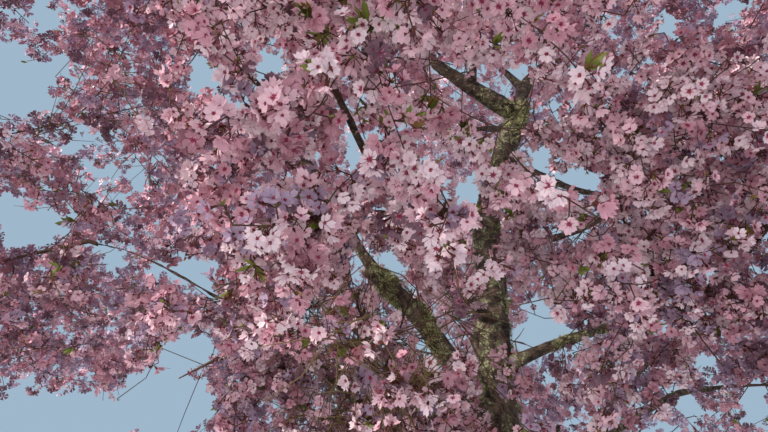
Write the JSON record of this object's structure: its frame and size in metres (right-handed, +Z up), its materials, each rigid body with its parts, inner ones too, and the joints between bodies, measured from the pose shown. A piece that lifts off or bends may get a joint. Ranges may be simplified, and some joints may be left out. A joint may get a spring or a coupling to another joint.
{
  "type": "flowering cherry tree",
  "caption": "Cherry tree in full bloom: a flared trunk forks into a leader and spreading boughs, each ending in an open mass of twigs and pink five-petalled blossom.",
  "frame": {"origin": "middle of the trunk's flat cut at ground level", "axes": "+Z up the trunk; -Y is the side that the picture was taken from"},
  "size_m": [7.5826, 6.9178, 6.8903],
  "materials": {
    "bark": "rough grey-brown bark with lichen",
    "mossy_bark": "rough bark under grey-green lichen tufts",
    "blossom": "matt pale pink petals"
  },
  "bodies": {
    "root": {"blossom_low_back": "blossom", "blossom_low_back_right": "blossom", "blossom_low_front": "blossom", "blossom_low_front_right": "blossom", "blossom_low_inner": "blossom", "blossom_low_left": "blossom", "blossom_low_left_back": "blossom", "blossom_low_left_front": "blossom", "blossom_low_middle": "blossom", "blossom_low_right": "blossom", "blossom_low_right_back": "blossom", "blossom_low_right_front": "blossom", "blossom_mid_back": "blossom", "blossom_mid_front": "blossom", "blossom_mid_left": "blossom", "blossom_mid_left_back": "blossom", "blossom_mid_right": "blossom", "blossom_mid_right_back": "blossom", "blossom_top": "blossom", "blossom_top_back": "blossom", "blossom_top_left": "blossom", "blossom_top_right": "blossom", "bough_back_high": "bark", "bough_back_low": "bark", "bough_back_right": "bark", "bough_front": "bark", "bough_front_inner": "bark", "bough_front_right": "bark", "bough_inner_low": "bark", "bough_left_back": "bark", "bough_left_front": "bark", "bough_left_high": "bark", "bough_left_low": "bark", "bough_left_mid": "bark", "bough_mossy": "mossy_bark", "bough_right_back": "bark", "bough_right_high": "bark", "bough_right_low": "bark", "bough_right_mid": "mossy_bark", "bough_right_rear": "bark", "fork_back": "bark", "fork_front": "bark", "fork_left": "bark", "fork_right": "bark", "fork_top": "bark", "leader": "bark", "sawn_stub": "bark", "trunk": "bark"}
  },
  "joints": []
}
